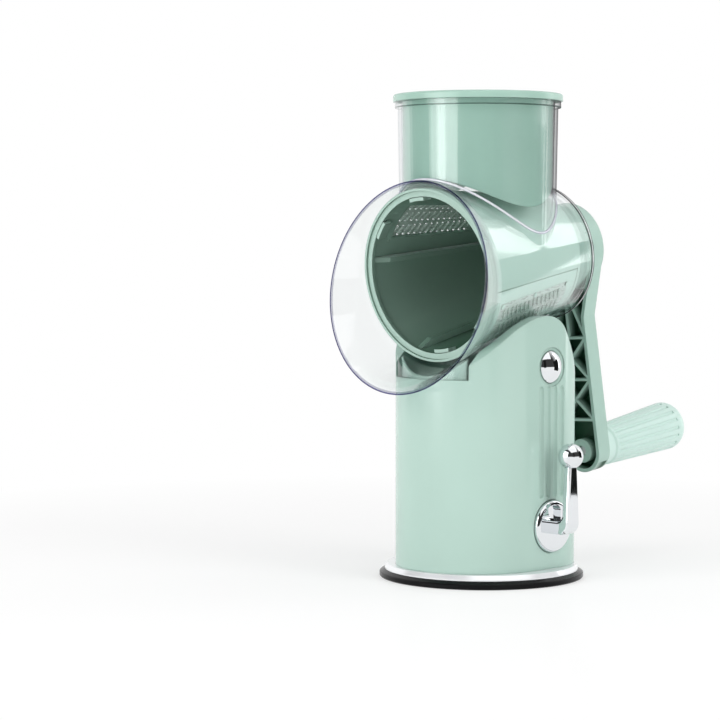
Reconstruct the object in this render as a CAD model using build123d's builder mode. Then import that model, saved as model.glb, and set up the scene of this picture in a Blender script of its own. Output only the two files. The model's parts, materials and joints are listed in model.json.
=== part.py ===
from build123d import *
from math import atan2, cos, degrees, radians, sin, tan
import os

# Hand cranked drum shredder on a suction base. Millimetres, +Z up. The origin is the centre of the
# suction disc's underside. The drum's mouth faces -Y, the crank is at +Y, and the catch button and the
# suction lever are on the +X side.

# ---------------------------------------------------------------- driving dimensions
running_fit = 0.05  # radial clearance of every turning shaft
loose_fit = 0.3  # gap between neighbouring curved faces
sliding_fit = 0.35  # gap round the pieces that slide

# suction base
pad_radius = 65.0
pad_height = 5.0
pad_lip_height = 2.8
pad_shoulder = 3.6
trim_height = 3.2
trim_radius = 61.6
trim_edge = 0.8  # upright outer edge of the bright ring
trim_slope = 1.6
trim_inner_radius = 40.0
anchor_radius = 14.0
anchor_thickness = 1.6
anchor_floor_z = 2.4
lip_round = 0.6

# body pillar: its plan is the hull of one front circle and two back circles
body_half_width = 50.0
body_front = 57.0
body_back = 58.0
back_corner_radius = 40.0
body_wall = 2.6
crest_y = 6.0
crest_z = 166.8
front_crest_radius = 50.0
front_slope = 42.0
back_crest_radius = 22.0
back_slope = 56.0
collar_reach = 46.0  # how far the saddle opens in front of the barrel, under the collar
collar_flare = 12.4
saddle_run = 30.0  # how far the saddle's cut runs on behind the barrel
plate_thickness = 2.6
plate_hole_radius = 3.0
upright_thickness = 4.0
upright_gap = 4.0
upright_half_width = 9.0
upright_rise = 10.0

# side fittings, all on one upright line of the +X side
fittings_y = 10.0
button_z = 134.8
button_radius = 10.0
button_skirt = 6.0
button_proud = 0.6  # how far the button's edge stands out of its recess
button_dome_height = 4.2
dome_shoulder_rise = 0.72
dome_shoulder_radius = 0.55
catch_radius = 4.5
catch_neck_radius = 3.0
catch_gap = 0.4
button_recess_radius = 12.2
button_recess_depth = 1.0
spring_radius = 4.4
spring_wire = 0.5
spring_turns = 3
flute_count = 4
flute_pitch = 6.4
flute_radius = 2.1
flute_depth = 1.6
flute_top_z = 121.0
flute_bottom_z = 55.0

lever_z = 35.0
lever_disc_radius = 16.4
lever_disc_rise = 3.4
lever_recess_depth = 1.4
lever_arm_reach = 15.5
lever_arm_thickness = 5.4
lever_arm_width = 7.6
lever_foot_width = 11.6
lever_web_height = 8.4
lever_arm_top = 73.0
lever_ball_z = 80.0
lever_ball_radius = 7.9
lever_pocket_width = 10.0
lever_pocket_depth = 3.0
lever_pocket_stretch = 1.8
lever_edge_round = 1.6
lever_disc_round = 2.4
lever_inner_bend = 3.8
lever_outer_bend = 7.5
lever_shaft_radius = 4.0
lever_bush_wall = 2.6
lever_bush_length = 9.0
shaft_tail = 1.2  # how far the shaft runs on past its retainer
ring_thickness = 1.0
ring_wall = 2.4
ring_gap = 0.2
cam_radius = 9.5
cam_throw = 3.5
cam_width = 8.0
cam_gap = 1.0
cam_drop = 1.4
yoke_bar = 4.0
rod_radius = 3.0

# drum axis: it leans, mouth down, and crosses the base's centre line at axis_height
axis_height = 198.6
axis_lean = 7.5

# clear housing
barrel_front = -46.0
barrel_back = 58.8
barrel_front_radius = 56.8
barrel_back_radius = 42.9
clear_wall = 2.0
rim_width = 2.6
rim_rise = 1.0
back_wall_depth = 4.0
back_wall_thickness = 2.4
collar_y = -69.5
collar_z = 185.0
collar_radius = 66.5
collar_lean = 8.5
hopper_y = -4.3
hopper_radius = 50.7
hopper_taper = 1.7
hopper_top = 301.0
hopper_flange_radius = 52.4
hopper_flange_height = 4.0
hopper_wall = 2.0
foot_half_width = 30.5
foot_back = 22.0
foot_floor_z = 128.0
foot_wall = 2.2
foot_rise = 60.0
foot_inset = 0.6  # how far the foot's front stays inside the pillar's plan
saddle_gap = 0.6
inner_wall = 1.5  # low wall of the pillar that stands inside the foot's front
cut_margin = 2.0  # how far cuts run on past a face

# pusher
pusher_lip_radius = 53.6
pusher_lip_height = 4.6
pusher_lip_round = 1.4
pusher_radius = 47.6
pusher_taper = 0.8
pusher_wall = 2.2
pusher_floor = 2.6
pusher_cut_radius = 59.5

# drum
drum_front = -51.0
drum_back = 49.5
drum_clearance = 1.0
ring_clearance = 0.4
drum_ring_depth = 4.0
drum_ring_width = 5.2
drum_bead_width = 1.6
drum_bead_rise = 1.4
panel_step = 1.1
panel_wall = 2.6
drum_back_wall = 3.0
insert_span = 100.0
insert_centres = {"upper": 120.0, "lower": 300.0}
rail_height = 4.6
rail_width = 3.2
blade_thickness = 0.6
blade_from = -4.0
blade_to = 38.0
blade_front = -38.0
blade_back = 37.0
blade_margin = 3.4
tooth_rows = (5.0, 17.0, 29.0)
teeth_per_row = 14
tooth_pitch = 4.7
tooth_slant = 24.0
tooth_length = 7.6
tooth_half_length = 3.2
tooth_slot_width = 2.0
tooth_rise = 0.9
tooth_root = 0.4
rivet_radius = 1.0
rivet_head_radius = 1.6
rivet_rise = 0.5
drum_hub_radius = 13.0
drum_hub_length = 14.0
hex_across_flats = 10.0
tab_inset = 8.0  # from the barrel's outside to the tabs'
tab_thickness = 2.2
tab_width = 12.0
tab_spread = 24.0
seat_gap = 0.1

# crank
shaft_radius = 6.0
bush_outer_radius = 9.0
bush_flange_radius = 12.5
bush_flange_thickness = 1.6
washer_thickness = 1.0
bush_proud = 0.5  # how far the bush stands out behind the barrel's rim
face_gap = 0.1  # play between the faces that turn against each other
shaft_bore = 16.0
hex_gap = 1.0
shaft_stop_depth = 7.5
boss_floor = 2.0
boss_wall = 4.0
crank_turn = 2.5
arm_front = 76.0
arm_depth = 11.5
arm_wall = 2.4
arm_half_width = 14.5
arm_length = 136.0
head_radius = 28.5
head_overlap = 0.6
head_neck = 44.0
hub_front_radius = 22.0
cap_rise = 3.2
cap_inset = 1.6
rib_thickness = 1.8
rib_places = (60.0, 88.0, 115.0)
fan_angle = 22.0
brace_reach = 0.9  # share of a cell that its two braces span
cap_seat_depth = 2.4

# handle
spindle_radius = 4.0
tenon_floor = 6.0  # from the arm's front to the foot of the spindle's hole
spindle_collar = 0.8
spindle_collar_wall = 3.0
spindle_boss_radius = 8.0
grip_length = 84.0
grip_neck_radius = 12.6
grip_neck_length = 8.0
grip_near_radius = 13.6
grip_far_radius = 16.4
grip_end_radius = 9.0
grip_flutes = 18
grip_flute_radius = 1.3
grip_flute_rise = 0.39  # from the grip's surface out to a groove's middle
grip_flute_gap = 3.0
grip_round = 8.0
grip_end_bend = 8.8
spindle_reach = 68.0
retainer_radius = 6.0
retainer_inset = 12.0  # from the spindle's end
bore_end_gap = 1.0

# fasteners
screw_radius = 1.5
screw_head_radius = 3.0
screw_head_height = 2.2
base_screw_length = 26.0
screw_tip_gap = 1.0
shaft_screw_radius = 2.0
shaft_screw_head_radius = 4.5
post_radius = 4.6
post_height = 30.0
post_inset = 5.6  # from the pillar's outside to a post's middle
front_post_angle = 24.0
back_post_angle = 29.5

# ---------------------------------------------------------------- places worked out from them
trim_z = pad_height
body_z = trim_z + trim_height
front_circle_y = body_half_width - body_front
back_circle_x = body_half_width - back_corner_radius
back_circle_y = body_back - back_corner_radius
side_x = body_half_width

axis_origin = Vector(0, 0, axis_height)
axis_dir = Vector(0, cos(radians(axis_lean)), sin(radians(axis_lean)))
drum_axis = Axis(axis_origin, axis_dir)
axis_side = Plane(origin=axis_origin, x_dir=axis_dir, z_dir=(1, 0, 0))
cone_slope = (barrel_front_radius - barrel_back_radius) / (barrel_back - barrel_front)


def barrel_radius(a):
    """Outside radius of the clear barrel at the place a along the drum's axis."""
    return barrel_front_radius - cone_slope * (a - barrel_front)


def drum_radius(a):
    """Outside radius of the drum's panels at the place a along the axis."""
    return barrel_radius(a) - clear_wall - drum_clearance - panel_step


def facing_mouth(a):
    """Plane across the drum's axis at a, seen from the mouth: x to the right, y up."""
    return Plane(origin=axis_origin + axis_dir * a, x_dir=(1, 0, 0), z_dir=-axis_dir)


def facing_crank(a, turn=0.0):
    """Plane across the axis at a, with y down along the hanging crank, turned toward +X."""
    down = Vector(0, axis_dir.Z, -axis_dir.Y)
    across = Vector(1, 0, 0) * cos(radians(turn)) - down * sin(radians(turn))
    return Plane(origin=axis_origin + axis_dir * a, x_dir=across, z_dir=axis_dir)


def side_facing(x, y=fittings_y, z=lever_z):
    """Plane on the +X side, looking along -X: sketch x is world Y, sketch y is world Z."""
    return Plane(origin=(x, y, z), x_dir=(0, 1, 0), z_dir=(1, 0, 0))


def body_plan(inset=0.0):
    """The pillar's plan, drawn inside the wall by the inset."""
    with BuildSketch(Plane.XY.offset(body_z)) as plan:
        with Locations((0, front_circle_y)):
            Circle(body_half_width - inset)
        with Locations((-back_circle_x, back_circle_y), (back_circle_x, back_circle_y)):
            Circle(back_corner_radius - inset)
        make_hull()
    return plan.sketch


def body_side(inset=0.0):
    """Side outline of the pillar with its wings: a crest between a front and a back slope."""
    reach = body_back + body_half_width
    front_r, back_r = front_crest_radius - inset, back_crest_radius - inset
    front_c = crest_z - front_crest_radius
    back_c = crest_z - back_crest_radius
    front_join = (
        crest_y - front_r * sin(radians(front_slope)),
        front_c + front_r * cos(radians(front_slope)),
    )
    back_join = (crest_y + back_r * sin(radians(back_slope)), back_c + back_r * cos(radians(back_slope)))
    front_mid = (
        crest_y - front_r * sin(radians(front_slope / 2)),
        front_c + front_r * cos(radians(front_slope / 2)),
    )
    back_mid = (
        crest_y + back_r * sin(radians(back_slope / 2)),
        back_c + back_r * cos(radians(back_slope / 2)),
    )
    front_foot = (-reach, front_join[1] - (reach + front_join[0]) * tan(radians(front_slope)))
    back_foot = (reach, back_join[1] - (reach - back_join[0]) * tan(radians(back_slope)))
    floor = -reach
    with BuildSketch(Plane.YZ) as side:
        with BuildLine():
            Line(front_foot, front_join)
            ThreePointArc(front_join, front_mid, (crest_y, crest_z - inset))
            ThreePointArc((crest_y, crest_z - inset), back_mid, back_join)
            Polyline(back_join, back_foot, (reach, floor), (-reach, floor), front_foot)
        make_face()
    return side.sketch


def turned(points, plane=axis_side, axis=drum_axis, mode=Mode.ADD):
    """Turn a closed outline of (along, radius) points about an axis."""
    with BuildSketch(plane) as profile:
        with BuildLine():
            Polyline(*points, close=True)
        make_face()
    return revolve(profile.sketch, axis=axis, mode=mode)


def sector(plane, start, end, reach, depth, mode):
    """A wedge of a disc between two angles, pushed back from the plane by the depth."""
    middle = (start + end) / 2
    corner = reach / cos(radians((end - start) / 4))
    with BuildSketch(plane) as wedge:
        with BuildLine():
            Polyline(
                (0, 0),
                (reach * cos(radians(start)), reach * sin(radians(start))),
                (corner * cos(radians((start + middle) / 2)), corner * sin(radians((start + middle) / 2))),
                (corner * cos(radians((middle + end) / 2)), corner * sin(radians((middle + end) / 2))),
                (reach * cos(radians(end)), reach * sin(radians(end))),
                close=True,
            )
        make_face()
    return extrude(wedge.sketch, amount=-depth, mode=mode)


finished = []


def finish(built, name):
    """Label a finished piece and keep it for export."""
    built.part.label = name
    finished.append((built.part, name))


# ================================================================ suction base
# rubber disc, lying flat: a thin lip on the table, a sloped shoulder and a recess for its anchor
with BuildPart() as suction_pad:
    turned(
        [
            (0, 0),
            (pad_radius - lip_round, 0),
            (pad_radius, lip_round),
            (pad_radius, pad_lip_height),
            (pad_radius - lip_round, pad_lip_height + lip_round),
            (pad_radius - pad_shoulder, pad_height),
            (anchor_radius + loose_fit, pad_height),
            (anchor_radius + loose_fit, anchor_floor_z),
            (0, anchor_floor_z),
        ],
        plane=Plane.XZ,
        axis=Axis.Z,
    )
finish(suction_pad, "suction_pad")

front_post_reach = body_half_width - post_inset
front_post_x = front_post_reach * cos(radians(front_post_angle))
front_post_y = front_circle_y - front_post_reach * sin(radians(front_post_angle))
back_post_reach = back_corner_radius - post_inset
back_post_x = back_circle_x + back_post_reach * cos(radians(back_post_angle))
back_post_y = back_circle_y + back_post_reach * sin(radians(back_post_angle))
post_places = [
    (front_post_x, front_post_y),
    (-front_post_x, front_post_y),
    (back_post_x, back_post_y),
    (-back_post_x, back_post_y),
]

with BuildPart() as base_trim_ring:
    turned(
        [
            (trim_inner_radius, trim_z),
            (trim_radius, trim_z),
            (trim_radius, trim_z + trim_edge),
            (trim_radius - trim_slope, body_z),
            (trim_inner_radius, body_z),
        ],
        plane=Plane.XZ,
        axis=Axis.Z,
    )
    with Locations(*[(x, y, trim_z) for x, y in post_places]):
        Cylinder(
            screw_head_radius + loose_fit,
            trim_height,
            align=(Align.CENTER, Align.CENTER, Align.MIN),
            mode=Mode.SUBTRACT,
        )
finish(base_trim_ring, "base_trim_ring")

# ================================================================ body pillar
saddle_front = barrel_front - collar_reach
saddle_front_radius = barrel_front_radius + collar_flare
saddle_back = barrel_back + saddle_run
pocket_half_width = foot_half_width + sliding_fit
pocket_floor_z = foot_floor_z
pocket_back = foot_back + sliding_fit


def saddle_points(gap):
    """The space that the barrel and the underside of its collar fill above the saddle."""
    return [
        (saddle_front, 0),
        (saddle_front, saddle_front_radius + gap),
        (barrel_front, barrel_front_radius + gap),
        (saddle_back, barrel_radius(saddle_back) + gap),
        (saddle_back, 0),
    ]


def foot_pocket(grow, mode):
    """Upright pocket for the housing's foot, open to the front and to the saddle."""
    low_z = pocket_floor_z - grow
    depth = pocket_back + grow + body_front + body_wall
    with Locations((0, pocket_back + grow, low_z)):
        Box(
            2 * (pocket_half_width + grow),
            depth,
            axis_height - low_z,
            align=(Align.CENTER, Align.MAX, Align.MIN),
            mode=mode,
        )


body_height = crest_z - body_z + cut_margin
bush_outer = lever_shaft_radius + running_fit + lever_bush_wall
recess_x = side_x - lever_recess_depth
flute_x = side_x - flute_depth + flute_radius

foot_clear = foot_inset + foot_wall + sliding_fit
with BuildPart() as backing:
    extrude(body_plan(foot_clear), amount=body_height)
    extrude(body_plan(foot_clear + inner_wall), amount=body_height, mode=Mode.SUBTRACT)
    with Locations((0, front_circle_y, pocket_floor_z - body_wall / 2)):
        Box(
            2 * (foot_half_width - foot_wall - 2 * sliding_fit),
            body_front,
            foot_rise,
            align=(Align.CENTER, Align.MAX, Align.MIN),
            mode=Mode.INTERSECT,
        )
    turned(saddle_points(saddle_gap), mode=Mode.SUBTRACT)
foot_backing = backing.part

with BuildPart() as body_cavity:
    extrude(body_plan(body_wall), amount=body_height)
    extrude(body_side(body_wall), amount=2 * body_half_width, both=True, mode=Mode.INTERSECT)
    turned(saddle_points(saddle_gap + body_wall), mode=Mode.SUBTRACT)
    foot_pocket(body_wall, Mode.SUBTRACT)

with BuildPart() as body_shell:
    extrude(body_plan(), amount=body_height)
    extrude(body_side(), amount=2 * body_half_width, both=True, mode=Mode.INTERSECT)
    turned(saddle_points(saddle_gap), mode=Mode.SUBTRACT)
    foot_pocket(0.0, Mode.SUBTRACT)
    add(body_cavity.part, mode=Mode.SUBTRACT)
    # low wall inside the foot's front, from the pocket's floor up to the saddle
    add(foot_backing)
    # screw posts that join the wall
    for x, y in post_places:
        with Locations((x, y, body_z + body_wall)):
            Cylinder(post_radius, post_height, align=(Align.CENTER, Align.CENTER, Align.MIN))
            Cylinder(
                screw_radius + running_fit,
                post_height - body_wall,
                align=(Align.CENTER, Align.CENTER, Align.MIN),
                mode=Mode.SUBTRACT,
            )
    # lever recess, boss and bush hole
    with BuildSketch(side_facing(side_x)):
        Circle(bush_outer + body_wall)
    extrude(amount=-(lever_bush_length + lever_recess_depth))
    with BuildSketch(side_facing(side_x + cut_margin)):
        Circle(lever_disc_radius + sliding_fit)
    extrude(amount=-(cut_margin + lever_recess_depth), mode=Mode.SUBTRACT)
    with BuildSketch(side_facing(side_x)):
        Circle(bush_outer)
    extrude(amount=-(lever_bush_length + lever_recess_depth + cut_margin), mode=Mode.SUBTRACT)
    # button recess and hole
    with BuildSketch(side_facing(side_x + cut_margin, z=button_z)):
        Circle(button_recess_radius)
    extrude(amount=-(cut_margin + button_recess_depth), mode=Mode.SUBTRACT)
    with BuildSketch(side_facing(side_x, z=button_z)):
        Circle(button_radius + sliding_fit)
    extrude(amount=-2 * body_wall, mode=Mode.SUBTRACT)
    # flutes, with round ends
    for i in range(flute_count):
        y = fittings_y + (i - (flute_count - 1) / 2) * flute_pitch
        with Locations((flute_x, y, flute_bottom_z)):
            Cylinder(
                flute_radius,
                flute_top_z - flute_bottom_z,
                align=(Align.CENTER, Align.CENTER, Align.MIN),
                mode=Mode.SUBTRACT,
            )
        with Locations((flute_x, y, flute_bottom_z), (flute_x, y, flute_top_z)):
            Sphere(flute_radius, mode=Mode.SUBTRACT)
    # hole for the catch in the pocket's wall
    with BuildSketch(side_facing(pocket_half_width + body_wall + catch_gap, z=button_z)):
        Circle(catch_radius + sliding_fit)
    extrude(amount=-(body_wall + 2 * catch_gap), mode=Mode.SUBTRACT)
finish(body_shell, "body_shell")

# floor plate with the two uprights that carry the lever's shaft
upright_top = lever_z + upright_rise
with BuildPart() as base_plate:
    extrude(body_plan(body_wall + sliding_fit), amount=plate_thickness)
    for side in (-1, 1):
        x = side * (cam_width / 2 + upright_gap + upright_thickness / 2)
        with Locations((x, fittings_y, body_z)):
            Box(
                upright_thickness,
                2 * upright_half_width,
                upright_top - body_z,
                align=(Align.CENTER, Align.CENTER, Align.MIN),
            )
    with BuildSketch(side_facing(side_x)):
        Circle(lever_shaft_radius + running_fit)
    extrude(amount=-2 * side_x, mode=Mode.SUBTRACT)
    with Locations((0, 0, body_z)):
        Cylinder(
            plate_hole_radius + running_fit,
            2 * plate_thickness,
            align=(Align.CENTER, Align.CENTER, Align.MIN),
            mode=Mode.SUBTRACT,
        )
    with Locations(*[(x, y, body_z) for x, y in post_places]):
        Cylinder(
            screw_radius + running_fit,
            2 * plate_thickness,
            align=(Align.CENTER, Align.CENTER, Align.MIN),
            mode=Mode.SUBTRACT,
        )
finish(base_plate, "base_plate")

with BuildPart() as base_screws:
    for x, y in post_places:
        with Locations((x, y, body_z)):
            Cylinder(screw_head_radius, screw_head_height, align=(Align.CENTER, Align.CENTER, Align.MAX))
            Cylinder(screw_radius, base_screw_length, align=(Align.CENTER, Align.CENTER, Align.MIN))
finish(base_screws, "base_screws")


# ================================================================ suction lever
web_low = lever_z - lever_web_height / 2
web_high = web_low + lever_web_height


def lever_outline():
    """Side view of the lever's web and arm: out from the disc, then up."""
    inner_x = side_x + lever_arm_reach - lever_arm_thickness / 2
    outer_x = inner_x + lever_arm_thickness
    with BuildSketch(Plane(origin=(0, fittings_y, 0), x_dir=(1, 0, 0), z_dir=(0, -1, 0))) as outline:
        with BuildLine():
            FilletPolyline(
                (side_x, web_high),
                (inner_x, web_high),
                (inner_x, lever_arm_top),
                radius=lever_inner_bend,
            )
            Line((inner_x, lever_arm_top), (outer_x, lever_arm_top))
            FilletPolyline(
                (outer_x, lever_arm_top),
                (outer_x, web_low),
                (side_x, web_low),
                radius=lever_outer_bend,
            )
            Line((side_x, web_low), (side_x, web_high))
        make_face()
    return outline.sketch


lever_back_x = recess_x + loose_fit
lever_face_x = side_x + lever_disc_rise
with BuildPart() as lever_arm:
    extrude(lever_outline(), amount=lever_foot_width / 2, both=True)
    with BuildSketch(side_facing(side_x, z=0)):
        with BuildLine():
            Polyline(
                (-lever_foot_width / 2, web_low),
                (lever_foot_width / 2, web_low),
                (lever_foot_width / 2, web_high),
                (lever_arm_width / 2, lever_arm_top),
                (-lever_arm_width / 2, lever_arm_top),
                (-lever_foot_width / 2, web_high),
                close=True,
            )
        make_face()
    extrude(amount=2 * lever_arm_reach, mode=Mode.INTERSECT)
    flanks = lever_arm.faces().filter_by(Axis.Y).edges()
    fillet(flanks.filter_by(lambda edge: edge.center().X > side_x + lever_edge_round), lever_edge_round)

with BuildPart() as suction_lever:
    with BuildSketch(side_facing(lever_back_x)):
        Circle(lever_disc_radius)
    extrude(amount=lever_face_x - lever_back_x)
    fillet(suction_lever.edges().group_by(Axis.X)[-1], lever_disc_round)
    with BuildSketch(side_facing(lever_face_x, z=lever_z + lever_pocket_width / 2)):
        SlotOverall(lever_pocket_width * lever_pocket_stretch, lever_pocket_width, rotation=90)
    extrude(amount=-lever_pocket_depth, mode=Mode.SUBTRACT)
    add(lever_arm.part)
finish(suction_lever, "suction_lever")

with BuildPart() as lever_ball:
    with Locations((side_x + lever_arm_reach, fittings_y, lever_ball_z)):
        Sphere(lever_ball_radius)
    with Locations((side_x + lever_arm_reach, fittings_y, lever_arm_top)):
        Cylinder(
            2 * lever_ball_radius,
            2 * lever_ball_radius,
            align=(Align.CENTER, Align.CENTER, Align.MAX),
            mode=Mode.SUBTRACT,
        )
finish(lever_ball, "lever_ball")

shaft_end_x = -(cam_width / 2 + upright_gap + upright_thickness + ring_thickness + shaft_tail)
with BuildPart() as lever_shaft:
    with BuildSketch(side_facing(lever_back_x)):
        Circle(lever_shaft_radius)
    extrude(amount=shaft_end_x - lever_back_x)
finish(lever_shaft, "lever_shaft")

with BuildPart() as lever_bush:
    with BuildSketch(side_facing(recess_x)):
        Circle(bush_outer - running_fit)
        Circle(lever_shaft_radius + running_fit, mode=Mode.SUBTRACT)
    extrude(amount=-lever_bush_length)
finish(lever_bush, "lever_bush")

with BuildPart() as lever_cam:
    with BuildSketch(side_facing(cam_width / 2)):
        with Locations((0, -cam_throw)):
            Circle(cam_radius)
        Circle(lever_shaft_radius + running_fit, mode=Mode.SUBTRACT)
    extrude(amount=-cam_width)
finish(lever_cam, "lever_cam")

with BuildPart() as lever_retainer:
    with BuildSketch(side_facing(shaft_end_x + ring_thickness + shaft_tail - ring_gap)):
        Circle(lever_shaft_radius + ring_wall)
        Circle(lever_shaft_radius + running_fit, mode=Mode.SUBTRACT)
    extrude(amount=-ring_thickness)
finish(lever_retainer, "lever_retainer")

# follower frame round the cam, with the pull rod and the anchor over the pad
window_low_y = fittings_y - cam_radius - cam_gap
window_high_y = fittings_y + cam_radius + cam_throw + cam_gap
window_low_z = lever_z - cam_throw - cam_radius - cam_drop
window_high_z = lever_z - cam_throw + cam_radius + loose_fit
window_width = window_high_y - window_low_y
window_height = window_high_z - window_low_z
with BuildPart() as cam_yoke:
    with BuildSketch(side_facing(cam_width / 2, y=0, z=0)):
        with Locations(((window_low_y + window_high_y) / 2, (window_low_z + window_high_z) / 2)):
            Rectangle(window_width + 2 * yoke_bar, window_height + 2 * yoke_bar)
            Rectangle(window_width, window_height, mode=Mode.SUBTRACT)
    extrude(amount=-cam_width)
finish(cam_yoke, "cam_yoke")

anchor_low_z = anchor_floor_z + loose_fit
anchor_high_z = anchor_low_z + anchor_thickness
with BuildPart() as suction_rod:
    with Locations((0, 0, anchor_high_z)):
        Cylinder(
            rod_radius, window_low_z - yoke_bar - anchor_high_z, align=(Align.CENTER, Align.CENTER, Align.MIN)
        )
finish(suction_rod, "suction_rod")

with BuildPart() as pad_anchor:
    with Locations((0, 0, anchor_low_z)):
        Cylinder(anchor_radius, anchor_thickness, align=(Align.CENTER, Align.CENTER, Align.MIN))
finish(pad_anchor, "pad_anchor")

# ================================================================ catch button
button_axis = Axis((0, fittings_y, button_z), (1, 0, 0))
button_side = Plane(origin=(0, fittings_y, button_z), x_dir=(1, 0, 0), z_dir=(0, -1, 0))
button_front_x = side_x - button_recess_depth + button_proud
button_back_x = button_front_x - button_skirt
catch_front_x = foot_half_width + catch_gap
catch_back_x = foot_half_width - foot_wall - catch_gap / 2
with BuildPart() as release_button:
    with BuildSketch(button_side):
        with BuildLine():
            Polyline(
                (button_front_x, button_radius),
                (button_back_x, button_radius),
                (button_back_x, 0),
                (button_front_x + button_dome_height, 0),
            )
            ThreePointArc(
                (button_front_x + button_dome_height, 0),
                (
                    button_front_x + button_dome_height * dome_shoulder_rise,
                    button_radius * dome_shoulder_radius,
                ),
                (button_front_x, button_radius),
            )
        make_face()
    revolve(axis=button_axis)
finish(release_button, "release_button")

with BuildPart() as latch_pin:
    turned(
        [
            (catch_back_x, 0),
            (catch_back_x, catch_radius),
            (catch_front_x, catch_radius),
            (catch_front_x, catch_neck_radius),
            (button_back_x, catch_neck_radius),
            (button_back_x, 0),
        ],
        plane=button_side,
        axis=button_axis,
    )
finish(latch_pin, "latch_pin")

spring_start_x = pocket_half_width + body_wall + spring_wire
spring_end_x = button_back_x - spring_wire
spring_length = spring_end_x - spring_start_x
with BuildPart() as button_spring:
    with BuildLine() as coil:
        Helix(
            spring_length / spring_turns,
            spring_length,
            spring_radius,
            center=(spring_start_x, fittings_y, button_z),
            direction=(1, 0, 0),
        )
    with BuildSketch(Plane(origin=coil.line @ 0, z_dir=coil.line % 0)):
        Circle(spring_wire)
    sweep(path=coil.line, is_frenet=True)
finish(button_spring, "button_spring")

# ================================================================ clear housing
lip_dir = Vector(0, -cos(radians(collar_lean)), sin(radians(collar_lean)))
lip_plane = Plane(origin=(0, collar_y, collar_z), x_dir=(1, 0, 0), z_dir=lip_dir)
back_wall_front = barrel_back - back_wall_depth
hopper_bottom = axis_height
hopper_height = hopper_top - hopper_bottom
back_wall_back = back_wall_front + back_wall_thickness


def hopper_space(inset):
    """The hopper's tapered upright tube, as a solid, drawn inside its wall by the inset."""
    with Locations((0, hopper_y, hopper_bottom)):
        Cone(
            hopper_radius - hopper_taper - inset,
            hopper_radius - inset,
            hopper_height,
            align=(Align.CENTER, Align.CENTER, Align.MIN),
        )


def collar_space(inset):
    """The flare from the barrel's front to the leaning lip, as a solid."""
    with BuildSketch(facing_mouth(barrel_front)) as throat:
        Circle(barrel_front_radius - inset)
    with BuildSketch(lip_plane) as lip:
        Circle(collar_radius - inset)
    loft([throat.sketch, lip.sketch])


with BuildPart() as housing_space:
    turned(
        [
            (barrel_front, 0),
            (barrel_front, barrel_front_radius - clear_wall),
            (back_wall_front, barrel_radius(back_wall_front) - clear_wall),
            (back_wall_front, 0),
        ]
    )
    hopper_space(hopper_wall)
    collar_space(clear_wall)


def foot_space(inset):
    """The foot's block: straight sides, with a front that follows the pillar's round plan."""
    with BuildPart() as foot:
        extrude(body_plan(foot_inset + inset), amount=axis_height)
        with Locations((0, foot_back - inset, foot_floor_z)):
            Box(
                2 * (foot_half_width - inset),
                foot_back + body_front,
                foot_rise,
                align=(Align.CENTER, Align.MAX, Align.MIN),
                mode=Mode.INTERSECT,
            )
    return foot.part


foot_outside = foot_space(0.0)
foot_inside = foot_space(foot_wall)

with BuildPart() as clear_housing:
    # foot: four walls that hang from the barrel
    add(foot_outside)
    add(foot_inside, mode=Mode.SUBTRACT)
    # barrel with its raised rim, then hopper, mouth collar and hopper flange
    turned(
        [
            (barrel_front, 0),
            (barrel_front, barrel_front_radius),
            (barrel_back - rim_width, barrel_radius(barrel_back - rim_width)),
            (barrel_back - rim_width, barrel_radius(barrel_back - rim_width) + rim_rise),
            (barrel_back, barrel_radius(barrel_back) + rim_rise),
            (barrel_back, 0),
        ]
    )
    hopper_space(0.0)
    collar_space(0.0)
    with Locations((0, hopper_y, hopper_top)):
        Cylinder(
            hopper_flange_radius, hopper_flange_height, align=(Align.CENTER, Align.CENTER, Align.MAX)
        )
    add(housing_space.part, mode=Mode.SUBTRACT)
    # shallow recess behind the back wall, and the hole for the bush
    turned(
        [
            (back_wall_back, 0),
            (back_wall_back, barrel_radius(back_wall_back) - clear_wall),
            (barrel_back, barrel_radius(barrel_back) - clear_wall),
            (barrel_back, 0),
        ],
        mode=Mode.SUBTRACT,
    )
    with BuildSketch(facing_crank(back_wall_front)):
        Circle(bush_outer_radius + running_fit)
    extrude(amount=back_wall_depth, mode=Mode.SUBTRACT)
    # keyhole for the catch: a round hole with a slot that runs out at the back
    with BuildSketch(side_facing(foot_half_width, z=button_z)):
        Circle(catch_radius + sliding_fit)
        with Locations(((foot_back - fittings_y) / 2, 0)):
            Rectangle(foot_back - fittings_y, 2 * (catch_neck_radius + loose_fit))
    extrude(amount=-foot_wall, mode=Mode.SUBTRACT)
finish(clear_housing, "clear_housing")

# ================================================================ pusher
with BuildPart() as cup_space:
    with Locations((0, hopper_y, axis_height)):
        Cone(
            pusher_radius - pusher_taper - pusher_wall,
            pusher_radius - pusher_wall,
            hopper_height + pusher_lip_height,
            align=(Align.CENTER, Align.CENTER, Align.MIN),
        )
    turned(
        [
            (-hopper_height, 0),
            (-hopper_height, pusher_cut_radius + pusher_floor),
            (hopper_height, pusher_cut_radius + pusher_floor),
            (hopper_height, 0),
        ],
        mode=Mode.SUBTRACT,
    )

with BuildPart() as pusher_cup:
    with Locations((0, hopper_y, axis_height)):
        Cone(
            pusher_radius - pusher_taper,
            pusher_radius,
            hopper_height,
            align=(Align.CENTER, Align.CENTER, Align.MIN),
        )
    with Locations((0, hopper_y, hopper_top)):
        Cylinder(pusher_lip_radius, pusher_lip_height, align=(Align.CENTER, Align.CENTER, Align.MIN))
    fillet(pusher_cup.edges().group_by(Axis.Z)[-1], pusher_lip_round)
    turned(
        [
            (-hopper_height, 0),
            (-hopper_height, pusher_cut_radius),
            (hopper_height, pusher_cut_radius),
            (hopper_height, 0),
        ],
        mode=Mode.SUBTRACT,
    )
    add(cup_space.part, mode=Mode.SUBTRACT)
finish(pusher_cup, "pusher_cup")

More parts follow.
